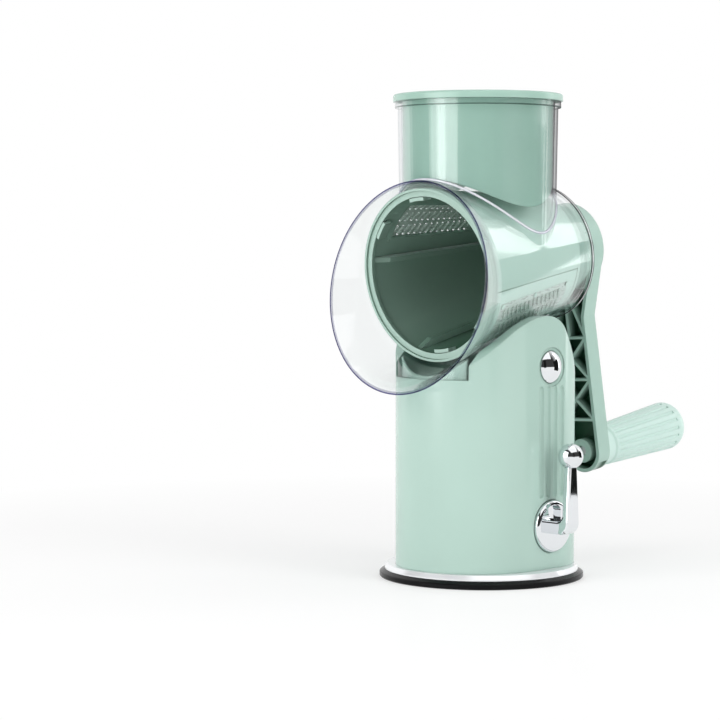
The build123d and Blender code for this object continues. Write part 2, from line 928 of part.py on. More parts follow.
# ================================================================ drum
ring_back = drum_front + drum_ring_depth
ring_radius = barrel_front_radius - clear_wall - ring_clearance
tab_radius = barrel_front_radius - tab_inset
wall_front = drum_back - drum_back_wall
drum_length = drum_back - drum_front
rail_angles = [centre + side * insert_span / 2 for centre in insert_centres.values() for side in (-1, 1)]
socket_front = wall_front - drum_hub_length + drum_back_wall


def panel_band(outer, inner, start=ring_back, end=wall_front):
    """Outline of a conical shell between two depths under the panels' surface."""
    return [
        (start, drum_radius(start) - inner),
        (start, drum_radius(start) - outer),
        (end, drum_radius(end) - outer),
        (end, drum_radius(end) - inner),
    ]


def rail_slabs(width, mode):
    """Four radial slabs along the drum, where the rails stand."""
    reach = drum_radius(drum_front)
    with BuildSketch(facing_mouth(drum_front)) as slabs:
        for angle in rail_angles:
            with Locations((reach * cos(radians(angle)), reach * sin(radians(angle)))):
                Rectangle(reach, width, rotation=angle)
    return extrude(slabs.sketch, amount=-drum_length, mode=mode)


def drum_sector(start, end, mode):
    """A wedge along the whole drum between two angles."""
    return sector(facing_mouth(drum_front), start, end, 2 * drum_radius(drum_front), drum_length, mode)


with BuildPart() as drum_rails:
    rail_inner = panel_wall + rail_height
    rail_full = ring_back + 2 * rail_height
    turned(
        [
            (ring_back, drum_radius(ring_back) - panel_wall),
            (ring_back, drum_radius(ring_back)),
            (wall_front, drum_radius(wall_front)),
            (wall_front, drum_radius(wall_front) - rail_inner),
            (rail_full, drum_radius(rail_full) - rail_inner),
        ]
    )
    rail_slabs(rail_width, Mode.INTERSECT)

with BuildPart() as fixed_panels:
    turned(panel_band(0, panel_wall))
    for centre in insert_centres.values():
        drum_sector(centre - insert_span / 2, centre + insert_span / 2, Mode.SUBTRACT)

with BuildPart() as drum_frame:
    # front ring with an outer bead, closed back wall and hub
    turned(
        [
            (drum_front + drum_bead_rise, ring_radius - drum_ring_width),
            (drum_front + drum_bead_rise, ring_radius - drum_bead_width),
            (drum_front, ring_radius - drum_bead_width),
            (drum_front, ring_radius),
            (ring_back, ring_radius),
            (ring_back, ring_radius - drum_ring_width),
        ]
    )
    turned(
        [
            (wall_front - drum_hub_length, 0),
            (wall_front - drum_hub_length, drum_hub_radius),
            (wall_front, drum_hub_radius),
            (wall_front, drum_radius(wall_front)),
            (drum_back, drum_radius(drum_back)),
            (drum_back, 0),
        ]
    )
    add(fixed_panels.part)
    add(drum_rails.part)
    with BuildSketch(facing_crank(socket_front)):
        RegularPolygon(hex_across_flats / 2 + running_fit, 6, major_radius=False)
    extrude(amount=drum_back - socket_front, mode=Mode.SUBTRACT)
finish(drum_frame, "drum_frame")

cone_angle = atan2(cone_slope, 1.0)
mouth_up = Vector(0, -axis_dir.Z, axis_dir.Y)
blade_middle = (blade_front + blade_back) / 2
margin_angle = degrees(blade_margin / drum_radius(blade_middle))


def surface_plane(a, angle, slant=0.0):
    """Plane on the panels' surface: z points out of it, x runs round the drum, turned by the slant."""
    out = Vector(1, 0, 0) * cos(radians(angle)) + mouth_up * sin(radians(angle))
    round_it = mouth_up * cos(radians(angle)) - Vector(1, 0, 0) * sin(radians(angle))
    normal = out * cos(cone_angle) + axis_dir * sin(cone_angle)
    across = normal.cross(round_it)
    along = round_it * cos(radians(slant)) + across * sin(radians(slant))
    return Plane(origin=axis_origin + axis_dir * a + out * drum_radius(a), x_dir=along, z_dir=normal)


def blade_band(centre, outer, inner, margin, degrees_in):
    """Part of a conical shell under one blade plate, drawn in by a margin on every side."""
    with BuildPart() as band:
        turned(panel_band(outer, inner, blade_front + margin, blade_back - margin))
        drum_sector(centre + blade_from + degrees_in, centre + blade_to - degrees_in, Mode.INTERSECT)
    return band.part


for place, centre in insert_centres.items():
    slot_planes = []
    tooth_planes = []
    for row, row_angle in enumerate(tooth_rows):
        for i in range(teeth_per_row):
            a = blade_middle + (i - (teeth_per_row - 1) / 2 + (row % 2 - 0.5) / 2) * tooth_pitch
            slot_plane = surface_plane(a, centre + row_angle, tooth_slant)
            slot_planes.append(slot_plane)
            tooth_planes.append(
                Plane(origin=slot_plane.origin, x_dir=slot_plane.y_dir, z_dir=slot_plane.x_dir)
            )
    rivet_planes = [
        surface_plane(a, centre + angle)
        for a in (blade_front + blade_margin / 2, blade_middle, blade_back - blade_margin / 2)
        for angle in (blade_from + margin_angle / 2, blade_to - margin_angle / 2)
    ]

    with BuildPart() as insert_tabs:
        turned(
            [
                (drum_front + drum_bead_rise, tab_radius - tab_thickness),
                (drum_front + drum_bead_rise, tab_radius),
                (ring_back + sliding_fit, tab_radius),
                (ring_back + sliding_fit, drum_radius(ring_back) - panel_wall / 2),
                (ring_back + 2 * tab_thickness, drum_radius(ring_back) - panel_wall / 2),
                (ring_back + 2 * tab_thickness, tab_radius - tab_thickness),
            ]
        )
        with BuildSketch(facing_mouth(drum_front)):
            for side in (-1, 1):
                angle = centre + side * tab_spread
                with Locations((tab_radius * cos(radians(angle)), tab_radius * sin(radians(angle)))):
                    Rectangle(tab_width, tab_width, rotation=angle)
        extrude(amount=-drum_length, mode=Mode.INTERSECT)

    with BuildPart() as insert_frame:
        turned(panel_band(0, panel_wall, ring_back + sliding_fit, wall_front - sliding_fit))
        drum_sector(centre - insert_span / 2, centre + insert_span / 2, Mode.INTERSECT)
        rail_slabs(rail_width + 2 * sliding_fit, Mode.SUBTRACT)
        add(insert_tabs.part)
        add(
            blade_band(centre, -blade_thickness, blade_thickness + seat_gap, -seat_gap, -seat_gap),
            mode=Mode.SUBTRACT,
        )
        add(
            blade_band(centre, -blade_thickness, 2 * panel_wall, blade_margin, margin_angle),
            mode=Mode.SUBTRACT,
        )
        with Locations(*rivet_planes):
            Cylinder(rivet_radius + running_fit, 4 * panel_wall, mode=Mode.SUBTRACT)
    finish(insert_frame, f"insert_frame_{place}")

    with BuildPart() as shred_blade:
        add(blade_band(centre, 0, blade_thickness, 0, 0))
        with Locations(*slot_planes):
            Box(tooth_length, tooth_slot_width, 4 * panel_wall, mode=Mode.SUBTRACT)
        with Locations(*rivet_planes):
            Cylinder(rivet_radius + running_fit, 4 * panel_wall, mode=Mode.SUBTRACT)
        # one raised edge beside every slot
        with BuildSketch(*tooth_planes):
            with BuildLine():
                Polyline(
                    (-tooth_slot_width / 2 - tooth_root, -blade_thickness),
                    (-tooth_slot_width / 2 - tooth_root, 0),
                    (tooth_slot_width / 2, tooth_rise),
                    (tooth_slot_width / 2, tooth_rise - blade_thickness),
                    (-tooth_slot_width / 2, -blade_thickness),
                    close=True,
                )
            make_face()
        extrude(amount=tooth_half_length, both=True)
    finish(shred_blade, f"shred_blade_{place}")

    with BuildPart() as blade_rivets:
        with Locations(*rivet_planes):
            Cylinder(rivet_radius, panel_wall, align=(Align.CENTER, Align.CENTER, Align.MAX))
        with Locations(*[plane.offset(-seat_gap / 2) for plane in rivet_planes]):
            Cylinder(rivet_radius, seat_gap, align=(Align.CENTER, Align.CENTER, Align.MIN))
        with Locations(*[plane.offset(seat_gap / 2) for plane in rivet_planes]):
            Cylinder(rivet_head_radius, rivet_rise, align=(Align.CENTER, Align.CENTER, Align.MIN))
    finish(blade_rivets, f"blade_rivets_{place}")

# ================================================================ drive shaft and bush
bush_front = back_wall_front - bush_flange_thickness
bush_back = barrel_back + bush_proud
washer_front = bush_back + face_gap
washer_back = washer_front + washer_thickness
hub_front = washer_back + face_gap
arm_back = arm_front + arm_depth
shaft_stop = arm_back - shaft_stop_depth
boss_radius = shaft_radius + boss_wall

with BuildPart() as shaft_bush:
    turned(
        [
            (bush_front, shaft_radius + running_fit),
            (bush_front, bush_flange_radius),
            (back_wall_front, bush_flange_radius),
            (back_wall_front, bush_outer_radius),
            (bush_back, bush_outer_radius),
            (bush_back, shaft_radius + running_fit),
        ]
    )
finish(shaft_bush, "shaft_bush")

with BuildPart() as head_washer:
    turned(
        [
            (washer_front, shaft_radius + running_fit),
            (washer_front, bush_flange_radius),
            (washer_back, bush_flange_radius),
            (washer_back, shaft_radius + running_fit),
        ]
    )
finish(head_washer, "head_washer")

hex_front = socket_front + hex_gap
hex_back = drum_back + hex_gap
with BuildPart() as drive_shaft:
    with BuildSketch(facing_crank(hex_front)):
        RegularPolygon(hex_across_flats / 2, 6, major_radius=False)
    extrude(amount=hex_back - hex_front)
    turned([(hex_back, 0), (hex_back, shaft_radius), (shaft_stop, shaft_radius), (shaft_stop, 0)])
    turned(
        [
            (shaft_stop - shaft_bore, 0),
            (shaft_stop - shaft_bore, shaft_screw_radius + running_fit),
            (shaft_stop, shaft_screw_radius + running_fit),
            (shaft_stop, 0),
        ],
        mode=Mode.SUBTRACT,
    )
finish(drive_shaft, "drive_shaft")

with BuildPart() as shaft_screw:
    turned(
        [
            (shaft_stop - shaft_bore + screw_tip_gap, 0),
            (shaft_stop - shaft_bore + screw_tip_gap, shaft_screw_radius),
            (shaft_stop + boss_floor, shaft_screw_radius),
            (shaft_stop + boss_floor, shaft_screw_head_radius),
            (shaft_stop + boss_floor + screw_head_height, shaft_screw_head_radius),
            (shaft_stop + boss_floor + screw_head_height, 0),
        ]
    )
finish(shaft_screw, "shaft_screw")

# ================================================================ crank
crank_front = facing_crank(arm_front, crank_turn)
spindle_foot = arm_front + tenon_floor
cap_seat_radius = head_radius - cap_inset
fan_foot = head_radius - arm_wall  # the fan's ribs spread from just inside the head's rim


def draw_crank(inset):
    """The arm's outline in the current sketch: round head, neck and a straight arm with a round end."""
    Circle(head_radius - head_overlap - inset)
    with Locations((0, head_neck)):
        Circle(arm_half_width - inset)
    make_hull()
    with Locations((0, arm_length / 2)):
        Rectangle(2 * (arm_half_width - inset), arm_length)
    with Locations((0, arm_length)):
        Circle(arm_half_width - inset)


with BuildPart() as crank_arm:
    with BuildSketch(crank_front):
        draw_crank(0.0)
    extrude(amount=arm_depth)
    # open pockets between the ribs
    with BuildSketch(crank_front) as pockets:
        draw_crank(arm_wall)
        Circle(head_radius - head_overlap, mode=Mode.SUBTRACT)
        with Locations((0, arm_length)):
            Circle(spindle_boss_radius, mode=Mode.SUBTRACT)
        for d in rib_places:
            with Locations((0, d)):
                Rectangle(2 * arm_half_width, rib_thickness, mode=Mode.SUBTRACT)
        for low, high in zip(rib_places, rib_places[1:]):
            angle = degrees(atan2(brace_reach * (high - low), 2 * (arm_half_width - arm_wall)))
            with Locations((0, (low + high) / 2)):
                Rectangle(2 * head_radius, rib_thickness, rotation=angle, mode=Mode.SUBTRACT)
                Rectangle(2 * head_radius, rib_thickness, rotation=-angle, mode=Mode.SUBTRACT)
        for angle in (-fan_angle, 0.0, fan_angle):
            slope = tan(radians(angle))
            with Locations(((rib_places[0] - fan_foot) / 2 * slope, (fan_foot + rib_places[0]) / 2)):
                Rectangle(rib_thickness, rib_places[0] - fan_foot, rotation=-angle, mode=Mode.SUBTRACT)
    extrude(pockets.sketch, amount=arm_depth - arm_wall, mode=Mode.SUBTRACT)
    # hollow head: front hub cone, centre boss, and an open back under the cap
    turned(
        [
            (hub_front, 0),
            (hub_front, hub_front_radius),
            (arm_front, head_radius),
            (arm_back, head_radius),
            (arm_back, 0),
        ]
    )
    turned(
        [
            (hub_front + arm_wall, boss_radius),
            (hub_front + arm_wall, hub_front_radius - arm_wall),
            (arm_front, head_radius - arm_wall),
            (arm_back - cap_seat_depth, head_radius - arm_wall),
            (arm_back - cap_seat_depth, cap_seat_radius),
            (arm_back, cap_seat_radius),
            (arm_back, 0),
            (shaft_stop + boss_floor, 0),
            (shaft_stop + boss_floor, boss_radius),
        ],
        mode=Mode.SUBTRACT,
    )
    turned(
        [
            (hub_front, 0),
            (hub_front, shaft_radius + running_fit),
            (shaft_stop, shaft_radius + running_fit),
            (shaft_stop, shaft_screw_radius + running_fit),
            (shaft_stop + boss_floor, shaft_screw_radius + running_fit),
            (shaft_stop + boss_floor, 0),
        ],
        mode=Mode.SUBTRACT,
    )
    # spindle hole in the end boss: tenon from the back, screw from the front
    with BuildSketch(crank_front) as screw_seat:
        with Locations((0, arm_length)):
            Circle(screw_head_radius + loose_fit)
    extrude(amount=spindle_foot - boss_floor - arm_front, mode=Mode.SUBTRACT)
    with BuildSketch(crank_front) as screw_hole:
        with Locations((0, arm_length)):
            Circle(screw_radius + running_fit)
    extrude(amount=arm_depth, mode=Mode.SUBTRACT)
    with BuildSketch(facing_crank(spindle_foot, crank_turn)) as tenon_hole:
        with Locations((0, arm_length)):
            Circle(spindle_radius + running_fit)
    extrude(amount=arm_back - spindle_foot, mode=Mode.SUBTRACT)
finish(crank_arm, "crank_arm")

cap_radius = cap_seat_radius - loose_fit
dome_radius = (cap_radius**2 + cap_rise**2) / (2 * cap_rise)
with BuildPart() as crank_head_cap:
    with BuildSketch(axis_side):
        with BuildLine():
            Polyline(
                (arm_back + cap_rise, 0),
                (arm_back - cap_seat_depth, 0),
                (arm_back - cap_seat_depth, cap_radius),
                (arm_back, cap_radius),
            )
            RadiusArc((arm_back, cap_radius), (arm_back + cap_rise, 0), dome_radius)
        make_face()
    revolve(axis=drum_axis)
finish(crank_head_cap, "crank_head_cap")

# ================================================================ handle
spindle_plane = facing_crank(arm_back, crank_turn)
spindle_origin = spindle_plane.from_local_coords(Vector(0, arm_length, 0))
spindle_axis = Axis(spindle_origin, axis_dir)
spindle_side = Plane(origin=spindle_origin, x_dir=axis_dir, z_dir=spindle_plane.x_dir.cross(axis_dir))
tenon_depth = arm_back - spindle_foot
retainer_place = spindle_reach - retainer_inset
grip_start = spindle_collar + face_gap

with BuildPart() as handle_spindle:
    turned(
        [
            (-tenon_depth, screw_radius + running_fit),
            (-tenon_depth, spindle_radius),
            (0, spindle_radius),
            (0, spindle_radius + spindle_collar_wall),
            (spindle_collar, spindle_radius + spindle_collar_wall),
            (spindle_collar, spindle_radius),
            (spindle_reach, spindle_radius),
            (spindle_reach, 0),
            (shaft_bore - tenon_depth, 0),
            (shaft_bore - tenon_depth, screw_radius + running_fit),
        ],
        plane=spindle_side,
        axis=spindle_axis,
    )
finish(handle_spindle, "handle_spindle")

with BuildPart() as spindle_screw:
    turned(
        [
            (shaft_bore - tenon_depth - screw_tip_gap, 0),
            (shaft_bore - tenon_depth - screw_tip_gap, screw_radius),
            (-tenon_depth - boss_floor, screw_radius),
            (-tenon_depth - boss_floor, screw_head_radius),
            (-tenon_depth - boss_floor - screw_head_height, screw_head_radius),
            (-tenon_depth - boss_floor - screw_head_height, 0),
        ],
        plane=spindle_side,
        axis=spindle_axis,
    )
finish(spindle_screw, "spindle_screw")

with BuildPart() as grip_retainer:
    turned(
        [
            (retainer_place, spindle_radius + running_fit),
            (retainer_place, retainer_radius),
            (retainer_place + ring_thickness, retainer_radius),
            (retainer_place + ring_thickness, spindle_radius + running_fit),
        ],
        plane=spindle_side,
        axis=spindle_axis,
    )
finish(grip_retainer, "grip_retainer")

grip_end = grip_start + grip_length
flute_start = grip_start + grip_neck_length + grip_flute_gap
flute_end = grip_end - grip_round - grip_flute_gap
with BuildPart() as handle_grip:
    with BuildSketch(spindle_side):
        with BuildLine():
            Polyline(
                (grip_end, 0),
                (grip_start, 0),
                (grip_start, grip_neck_radius),
                (grip_start + grip_neck_length, grip_neck_radius),
                (grip_start + grip_neck_length + grip_flute_radius, grip_near_radius),
                (grip_end - grip_round, grip_far_radius),
            )
            RadiusArc((grip_end - grip_round, grip_far_radius), (grip_end, grip_end_radius), grip_end_bend)
            Line((grip_end, grip_end_radius), (grip_end, 0))
        make_face()
    revolve(axis=spindle_axis)
    # bore for the spindle, with a chamber for its retaining ring
    turned(
        [
            (grip_start, 0),
            (grip_start, spindle_radius + running_fit),
            (retainer_place - loose_fit, spindle_radius + running_fit),
            (retainer_place - loose_fit, retainer_radius + loose_fit),
            (retainer_place + ring_thickness + loose_fit, retainer_radius + loose_fit),
            (retainer_place + ring_thickness + loose_fit, spindle_radius + running_fit),
            (spindle_reach + bore_end_gap, spindle_radius + running_fit),
            (spindle_reach + bore_end_gap, 0),
        ],
        plane=spindle_side,
        axis=spindle_axis,
        mode=Mode.SUBTRACT,
    )
    # grooves along the grip
    with BuildSketch(facing_crank(arm_back + flute_start, crank_turn)) as near_grooves:
        with Locations((0, arm_length)):
            with PolarLocations(grip_near_radius + grip_flute_rise, grip_flutes):
                Circle(grip_flute_radius)
    with BuildSketch(facing_crank(arm_back + flute_end, crank_turn)) as far_grooves:
        with Locations((0, arm_length)):
            with PolarLocations(grip_far_radius + grip_flute_rise, grip_flutes):
                Circle(grip_flute_radius)
    for near, far in zip(near_grooves.sketch.faces(), far_grooves.sketch.faces()):
        loft([near, far], mode=Mode.SUBTRACT)
finish(handle_grip, "handle_grip")

for part, name in finished:
    export_step(part, f"parts/{name}.step")
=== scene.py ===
# %% [markdown]
# # A hand cranked drum shredder, dressed for a studio picture
# The solid model already holds every piece at its real size. This lesson loads it, gives each piece the
# finish that the real one has, adds the one thin bead that the clear moulding shows, and lights it.

import json
import math

import bmesh
import bpy
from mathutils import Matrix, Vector


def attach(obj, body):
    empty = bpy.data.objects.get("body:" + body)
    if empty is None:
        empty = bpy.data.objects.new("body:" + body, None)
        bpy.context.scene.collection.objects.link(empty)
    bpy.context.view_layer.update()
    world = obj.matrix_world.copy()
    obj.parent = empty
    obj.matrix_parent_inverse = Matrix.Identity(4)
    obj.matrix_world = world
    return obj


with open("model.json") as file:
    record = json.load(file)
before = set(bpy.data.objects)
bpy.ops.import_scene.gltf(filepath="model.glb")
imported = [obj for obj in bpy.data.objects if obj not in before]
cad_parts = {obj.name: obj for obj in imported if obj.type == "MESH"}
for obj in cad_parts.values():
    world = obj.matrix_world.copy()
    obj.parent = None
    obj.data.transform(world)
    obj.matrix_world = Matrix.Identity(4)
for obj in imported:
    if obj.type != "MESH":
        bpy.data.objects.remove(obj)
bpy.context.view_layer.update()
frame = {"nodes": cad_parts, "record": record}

# %% [markdown]
# ## Shader sums as plain Python
# A material is a graph of nodes, and every sum in it is a Math node. Placing those one by one hides the
# idea, so a small class wraps a socket and lets Python's own operators add the nodes. `1 - mask` then
# means what it says. Most masks here are soft steps at a measured place on a piece, so the class has a
# word for each side of such a step.


# %% A socket that can be added and multiplied
class Signal:
    """One value in a node tree. Python's operators on it add Math nodes."""

    def __init__(self, tree, socket):
        self.tree = tree
        self.socket = socket

    def math(self, operation, *values):
        node = self.tree.nodes.new("ShaderNodeMath")
        node.operation = operation
        for slot, value in zip(node.inputs, values):
            plug(self.tree, slot, value)
        return Signal(self.tree, node.outputs[0])

    def __add__(self, other):
        return self.math("ADD", self, other)

    __radd__ = __add__

    def __mul__(self, other):
        return self.math("MULTIPLY", self, other)

    __rmul__ = __mul__

    def __sub__(self, other):
        return self.math("SUBTRACT", self, other)

    def __rsub__(self, other):
        return self.math("SUBTRACT", other, self)

    def __pow__(self, other):
        return self.math("POWER", self, other)

    def __rpow__(self, other):
        return self.math("POWER", other, self)

    def peak(self, other):
        """The larger of two values."""
        return self.math("MAXIMUM", self, other)

    def size(self):
        """The value without its sign."""
        return self.math("ABSOLUTE", self)

    def held(self):
        """The same value, kept between 0 and 1."""
        return self.math("MINIMUM", self.math("MAXIMUM", self, 0.0), 1.0)

    def past(self, edge, over):
        """0 up to the edge. It rises to 1 over the given stretch beyond it."""
        return ((self - edge) * (1.0 / over)).held()

    def before(self, edge, over):
        """0 from the edge on. It rises to 1 over the given stretch before it."""
        return ((edge - self) * (1.0 / over)).held()


def plug(tree, slot, value):
    """Link a signal to a socket, or write a plain number or colour into it."""
    if isinstance(value, Signal):
        tree.links.new(value.socket, slot)
    else:
        slot.default_value = value


print("a signal knows:", [word for word in vars(Signal) if not word.startswith("__")])

# %% [markdown]
# ## One method for every other node
# Noise, bumps and shaders are all made the same way: a node's settings first, then its inputs by place or
# by name. A finish is one material with its own node tree. It also measures where a point of the piece
# lies, because the clear rims and the deep pockets of a moulding look different from the rest of it.


# %% A finish and its nodes
class Finish:
    """A material under construction."""

    def __init__(self, name, tree=None):
        if tree is None:
            self.material = bpy.data.materials.new(name)
            self.material.use_nodes = True
            tree = self.material.node_tree
        self.tree = tree
        self.tree.nodes.clear()

    def node(self, kind, settings=None, out=0, inputs=(), **sockets):
        """Add a node: its settings, then its inputs by place, then its inputs by name."""
        made = self.tree.nodes.new("ShaderNode" + kind)
        for key, value in (settings or {}).items():
            setattr(made, key, value)
        for slot, value in zip(made.inputs, inputs):
            plug(self.tree, slot, value)
        for key, value in sockets.items():
            wanted = key.replace("_", " ")
            slot = next(s for s in made.inputs if s.name == wanted and s.enabled)
            plug(self.tree, slot, value)
        return Signal(self.tree, made.outputs[out]) if len(made.outputs) else None

    def place(self):
        """Where on the object a point is, in metres."""
        return self.node("TexCoord", out="Object")

    def vector(self, operation, *vectors, out="Vector"):
        """A sum of vectors. Dot products and lengths come out as a value."""
        return self.node("VectorMath", {"operation": operation}, out, vectors)

    def offset(self, origin):
        """The way from an origin to the point."""
        return self.vector("SUBTRACT", self.place(), origin)

    def along(self, origin, direction):
        """How far the point lies from an origin along a direction, in metres."""
        return self.vector("DOT_PRODUCT", self.offset(origin), direction, out="Value")

    def away(self, origin, direction):
        """How far the point lies from the line through an origin, in metres."""
        across = self.vector("CROSS_PRODUCT", self.offset(origin), direction)
        return self.vector("LENGTH", across, out="Value")

    def noise(self, scale, detail, stretch=None, rough=0.5):
        """Soft noise. Scale is in lumps per metre, and stretch squeezes it along an axis."""
        where = self.place()
        if stretch is not None:
            where = self.node("Mapping", Vector=where, Scale=stretch)
        return self.node("TexNoise", Vector=where, Scale=scale, Detail=detail, Roughness=rough)

    def blend(self, amount, first, second):
        """A colour between two colours."""
        return self.node("Mix", {"data_type": "RGBA"}, 2, Factor=amount, A=first, B=second)

    def mixed(self, amount, first, second):
        """Two shaders, mixed. The amount is the second one's share."""
        return self.node("MixShader", inputs=(amount, first, second))

    def bump(self, height, strength, distance, under=None):
        """A small relief for the shader's normal, on top of the one under it."""
        sockets = {"Height": height, "Strength": strength, "Distance": distance}
        if under is not None:
            sockets["Normal"] = under
        return self.node("Bump", **sockets)

    def facing(self):
        """0 where the surface is seen square on, and 1 where it is seen along its length."""
        return self.node("LayerWeight", out="Facing", Blend=0.5)

    def ray(self, kind):
        """1 for one kind of ray, such as Camera or Glossy."""
        return self.node("LightPath", out=f"Is {kind} Ray")

    def surface(self, shader):
        self.node("OutputMaterial", Surface=shader)
        return self.material


def rgb(red, green, blue):
    """A colour as the sockets take it."""
    return (red, green, blue, 1.0)


def shaded(colour, share):
    """The same colour with less light."""
    return rgb(*[channel * share for channel in colour])


print("a finish makes:", [word for word in vars(Finish) if not word.startswith("_")])

# %% [markdown]
# ## Where the pieces stand
# Every piece keeps the coordinates of the whole shredder, in metres, so a place on it is a size that the
# solid model has too. The drum, its shaft and the crank share one axis, which leans down toward the mouth.
# The crank hangs from that axis, turned a little to one side. Three directions made from these two angles
# are enough to find the drum's inside and the pockets of the crank.

# %% The shredder's axes
up = (0.0, 0.0, 1.0)
sideways = (1.0, 0.0, 0.0)
axis_lean = math.radians(7.5)
axis_height = 0.1986
axis_origin = (0.0, 0.0, axis_height)
axis_dir = (0.0, math.cos(axis_lean), math.sin(axis_lean))

crank_turn = math.radians(2.5)
hang = Vector((0.0, axis_dir[2], -axis_dir[1]))
arm_across = Vector(sideways) * math.cos(crank_turn) - hang * math.sin(crank_turn)
arm_down = Vector(axis_dir).cross(arm_across)
print("crank hangs along:", [round(v, 3) for v in arm_down])

# %% [markdown]
# ## Mint moulded plastic
# The pillar, drum, pusher and crank are moulded in one pale mint plastic with a polished surface. Polished
# mouldings aren't perfect mirrors: the surface has a faint orange-peel ripple of a few millimetres, a much
# finer grain, and polish that differs a little from place to place. Colour drifts by a few percent where
# the melt flowed. An image could hold all this, but it would need UVs and would show its pixels close up.
# Noise at three sizes gives each of these its own scale on any shape. A Bevel node rounds the sharp
# corners of the solid model in the shading alone.


# %% Mint plastic
def moulded_plastic(name, colour, roughness, ripple=0.035, grain=0.02, corner=0.0007, hollow_shade=None):
    """A polished moulding. An optional mask function paints shade into its hollows by deepening the colour
    there.
    """
    finish = Finish(name)
    flow = finish.noise(14.0, 2.0)
    fine = finish.noise(1400.0, 2.0)
    orange_peel = finish.noise(160.0, 1.0)
    tone = finish.blend((flow * 1.6 - 0.3).held(), rgb(*colour), shaded(colour, 0.93))
    polish = flow * 0.05 + fine * 0.03 + (roughness - 0.04)
    if hollow_shade is not None:
        # painted shade: the colour deepens toward a dark mint where the mask says little light reaches
        shade_depth = hollow_shade(finish)
        tone = finish.blend(shade_depth, tone, rgb(colour[0] * 0.05, colour[1] * 0.13, colour[2] * 0.08))
        polish = polish + shade_depth * 0.3
    rounded = finish.node("Bevel", {"samples": 4}, Radius=corner)
    rippled = finish.bump(orange_peel, ripple, 0.0006, rounded)
    shader = finish.node(
        "BsdfPrincipled",
        Base_Color=tone,
        Roughness=polish,
        Specular_IOR_Level=0.5 if hollow_shade is None else 0.26,
        Normal=finish.bump(fine, grain, 0.00012, rippled),
        IOR=1.5,
    )
    return finish.surface(shader)


mint = (0.44, 0.61, 0.54)
body_mint = moulded_plastic("pillar_mint", mint, 0.13, corner=0.0012)
# the pusher's mint is darker than the same plastic elsewhere: painted shade for the pusher inside the clear
# hopper
pusher_mint = moulded_plastic("pusher_mint", (0.36, 0.545, 0.465), 0.22)
# the grip's paler mint is partly its own paler plastic and partly painted light from the right and behind
grip_mint = moulded_plastic("grip_mint", (0.64, 0.83, 0.765), 0.33, ripple=0.05, grain=0.05)
print("mint finishes:", body_mint.name, pusher_mint.name, grip_mint.name)

# %% [markdown]
# ## Mint plastic that is deep in shade
# Two mouldings have hollows that little light reaches. The drum is a cone that is open at the front, and
# the crank's arm has open pockets between its ribs. The lamps darken such places, but pale plastic in a
# white studio bounces so much light about that they stay paler than in the photograph. So a mask finds
# the hollow, by which way its faces look or by how deep in the pocket they lie, and deepens the mint there.

# %% Painted shade masks for the drum's inside and the crank's pockets
# places along the drum's axis and beside it, in metres
ring_back = -0.0455
dim_start = -0.035
dim_stretch = 0.04
pocket_half_width = 0.01225
pocket_top = 0.0284
pocket_mouth = 0.0762
pocket_full_depth = 0.00625
inside_back_wall = 0.0862
# how softly the masks end
corner_blur = 0.00033
step_blur = 0.0005
facing_blur = 1.0 / 60.0


def drum_inside_shade(finish):
    """Painted shade for the drum: how much a face looks at the drum's axis, most of all on the drum's
    right, and a little on its front ring.
    """
    normal = finish.node("TexCoord", out="Normal")
    facing_out = finish.vector("DOT_PRODUCT", normal, finish.offset(axis_origin), out="Value")
    dim_side = finish.along(axis_origin, sideways).past(dim_start, dim_stretch)
    front_ring = finish.along(axis_origin, axis_dir).before(ring_back, step_blur)
    return (facing_out.before(0.0, facing_blur) * (dim_side * 0.35 + 0.65)).peak(front_ring * 0.3)


def crank_pocket_shade(finish):
    """Painted shade for the crank: depth in the pockets between the crank arm's ribs."""
    back = finish.along(axis_origin, axis_dir)
    between_sides = finish.along(axis_origin, arm_across).size().before(pocket_half_width, corner_blur)
    below_head = finish.along(axis_origin, arm_down).past(pocket_top, step_blur)
    shade_depth = back.past(pocket_mouth, pocket_full_depth)
    return between_sides * below_head * shade_depth * back.before(inside_back_wall, corner_blur)


crank_mint = moulded_plastic("crank_mint", mint, 0.19, hollow_shade=crank_pocket_shade)
# the drum and its inserts are lighter than the same mint elsewhere: painted light on their outsides, with
# painted shade deepened inside
drum_mint = moulded_plastic("drum_mint", (0.56, 0.75, 0.67), 0.24, hollow_shade=drum_inside_shade)
insert_mint = moulded_plastic("insert_mint", (0.57, 0.76, 0.68), 0.24, hollow_shade=drum_inside_shade)
print("hollow mint finishes:", crank_mint.name, drum_mint.name, insert_mint.name)

# %% [markdown]
# ## The clear housing's own sizes
# Hopper, barrel and collar are one clear moulding. Its rims, its cut edge and the line where the hopper
# meets the barrel each look different from the plain wall, so the finish and the bead need to know where
# they are. The barrel narrows toward its back and the hopper widens toward its top. Both radii are
# straight lines, so the same two functions serve plain numbers and signals.

# %% Barrel, hopper and collar
barrel_front = -0.046
barrel_back = 0.0588
barrel_front_radius = 0.0568
barrel_back_radius = 0.0429
hopper_y = -0.0043
hopper_top = 0.301
hopper_foot_radius = 0.049
hopper_top_radius = 0.0507
flange_height = 0.004
lip_lean = math.radians(8.5)
lip_out = (0.0, -math.cos(lip_lean), math.sin(lip_lean))
lip_centre = (0.0, -0.0695, 0.185)
lip_radius = 0.0665


def barrel_radius(down_axis):
    """The barrel's radius at a place along its axis."""
    taper = (barrel_front_radius - barrel_back_radius) / (barrel_back - barrel_front)
    return barrel_front_radius - (down_axis - barrel_front) * taper


def hopper_radius(height):
    """The hopper's radius at a height above the drum's axis."""
    taper = (hopper_top_radius - hopper_foot_radius) / (hopper_top - axis_height)
    return height * taper + hopper_foot_radius


print("barrel's radius at its rim:", round(barrel_radius(barrel_back), 4))
